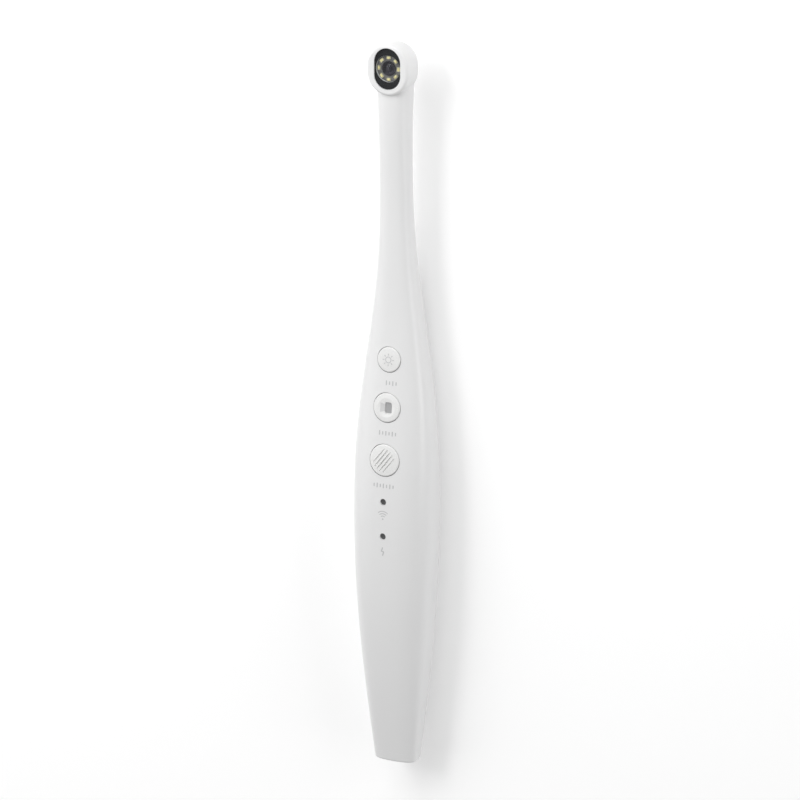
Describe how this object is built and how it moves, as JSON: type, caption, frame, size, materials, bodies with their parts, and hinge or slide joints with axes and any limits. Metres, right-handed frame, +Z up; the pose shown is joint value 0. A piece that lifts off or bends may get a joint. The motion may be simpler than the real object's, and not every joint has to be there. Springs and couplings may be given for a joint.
{
  "type": "wireless intraoral camera",
  "caption": "Slim white wand with a round lit camera window in its tip, a swelling handle with push buttons, indicator holes and a charging socket in its tail.",
  "frame": {"origin": "on the surface it lies on, below the middle of the wand's bounding box", "axes": "+X along the wand from the tail to the camera head, +Z up through the buttons and the window, +Y across the width"},
  "size_m": [0.2, 0.0232, 0.0176],
  "materials": {
    "shell_white": "white ABS, moulded, semi-gloss",
    "button_white": "white ABS, moulded, semi-gloss",
    "window_clear": "clear flat cover glass",
    "gasket_black": "black adhesive foam",
    "led_board_white": "white solder mask on glass-fibre board",
    "led_phosphor": "yellow phosphor in a white LED package",
    "lens_black": "black anodised",
    "lens_glass": "coated lens glass",
    "holder_black": "black moulded holder",
    "sensor_silicon": "image sensor under cover glass",
    "board_green": "green solder mask on glass-fibre board",
    "chip_black": "black moulded chip package",
    "shield_tin": "tinned shield can",
    "battery_foil": "aluminium pouch foil",
    "foam_grey": "adhesive foam pad",
    "lead_red": "insulated lead",
    "flex_amber": "polyimide film",
    "connector_ivory": "moulded connector",
    "screw_steel": "plated screw",
    "guide_smoked": "smoked acrylic",
    "socket_steel": "nickel-plated steel",
    "tongue_black": "black moulded plastic",
    "switch_black": "black moulded plastic",
    "plunger_grey": "grey moulded plastic"
  },
  "bodies": {
    "housing": {"front_shell": "shell_white", "rear_shell": "shell_white", "tail_cap": "shell_white", "usb_socket": "socket_steel", "usb_tongue": "tongue_black", "window_gasket": "gasket_black", "window_glass": "window_clear", "led_board": "led_board_white", "white_leds": "led_phosphor", "lens_barrel": "lens_black", "lens_glass": "lens_glass", "lens_holder": "holder_black", "image_sensor": "sensor_silicon", "sensor_board": "board_green", "flex_cable": "flex_amber", "flex_connector": "connector_ivory", "main_board": "board_green", "processor_chip": "chip_black", "wireless_module": "shield_tin", "charger_chip": "chip_black", "battery": "battery_foil", "battery_foam": "foam_grey", "battery_leads": "lead_red", "board_screws": "screw_steel", "wireless_light_guide": "guide_smoked", "charge_light_guide": "guide_smoked", "wireless_led": "led_phosphor", "charge_led": "led_phosphor", "brightness_switch": "switch_black", "capture_switch": "switch_black", "power_switch": "switch_black"},
    "brightness_key": {"brightness_button": "button_white", "brightness_plunger": "plunger_grey"},
    "capture_key": {"capture_button": "button_white", "capture_plunger": "plunger_grey"},
    "power_key": {"power_button": "button_white", "power_plunger": "plunger_grey"}
  },
  "joints": [
    {"name": "brightness_press", "type": "slide", "parent": "housing", "child": "brightness_key", "axis": [0, 0, -1], "range_m": [0, 0.0004], "stiffness_N_per_m": 400, "springref_m": -0.0005},
    {"name": "capture_press", "type": "slide", "parent": "housing", "child": "capture_key", "axis": [0, 0, -1], "range_m": [0, 0.0004], "stiffness_N_per_m": 400, "springref_m": -0.0005},
    {"name": "power_press", "type": "slide", "parent": "housing", "child": "power_key", "axis": [0, 0, -1], "range_m": [0, 0.0004], "stiffness_N_per_m": 400, "springref_m": -0.0005}
  ]
}
